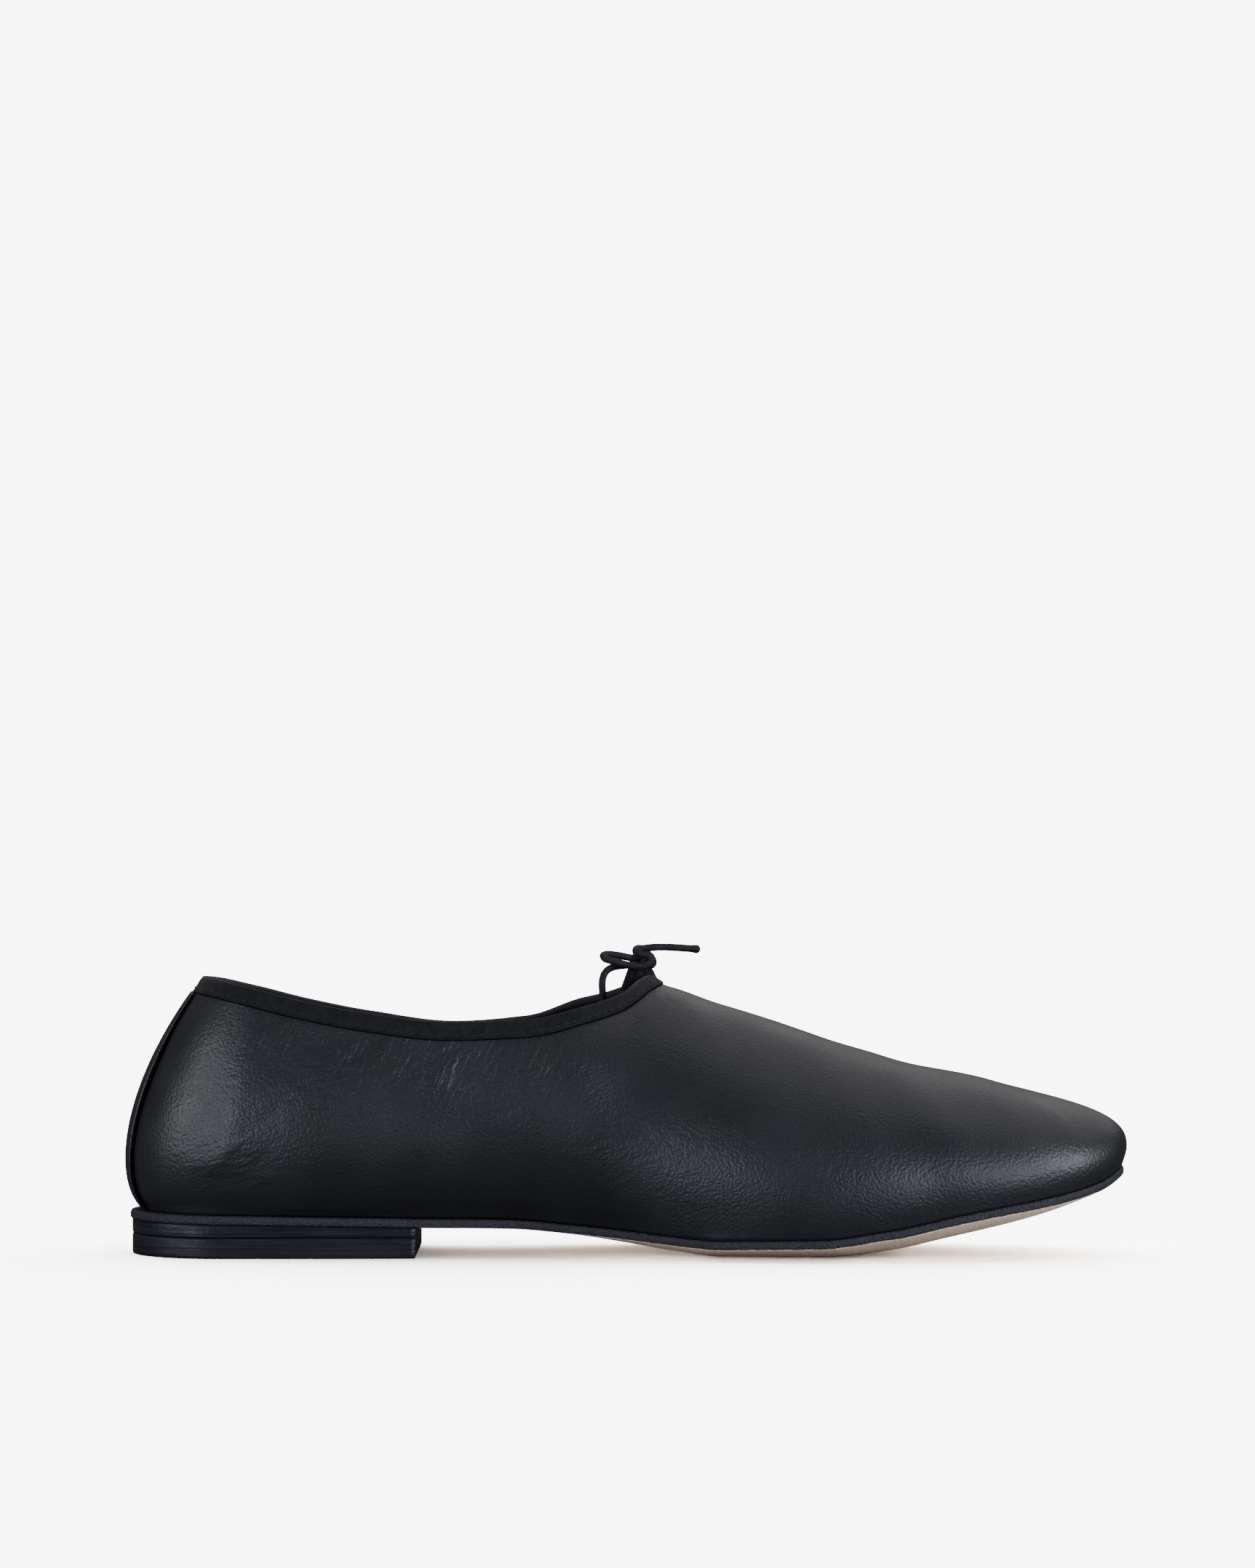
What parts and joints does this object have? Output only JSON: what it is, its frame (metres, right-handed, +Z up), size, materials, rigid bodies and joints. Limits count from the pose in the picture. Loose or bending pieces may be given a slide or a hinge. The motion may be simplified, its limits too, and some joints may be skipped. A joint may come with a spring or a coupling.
{
  "type": "ballet flat",
  "caption": "Left ballet flat with a high-cut leather upper, bound topline with a small cord bow, thin leather sole and a low stacked heel.",
  "frame": {"origin": "on the floor, under the middle of the shoe's box without the cord bow", "axes": "+X towards the toe, +Z up, -Y towards the inner side of the foot"},
  "size_m": [0.2607, 0.079, 0.0803],
  "materials": {
    "upper_leather": "soft black leather, fine grain, satin",
    "ribbon": "black ribbed ribbon, matte",
    "lining": "black lining leather, matte",
    "sole_leather": "natural tan underside, black painted edge",
    "heel_leather": "black stacked heel, polished",
    "heel_rubber": "black rubber lift, satin",
    "cord": "black round elastic cord"
  },
  "bodies": {
    "root": {"upper": "upper_leather", "back_strip": "upper_leather", "collar_binding": "ribbon", "insole": "lining", "outsole": "sole_leather", "heel_block": "heel_leather", "top_piece": "heel_rubber", "bow_knot": "cord", "bow_loop_near": "cord", "bow_loop_far": "cord", "bow_end_front": "cord", "bow_end_inside": "cord"}
  },
  "joints": []
}
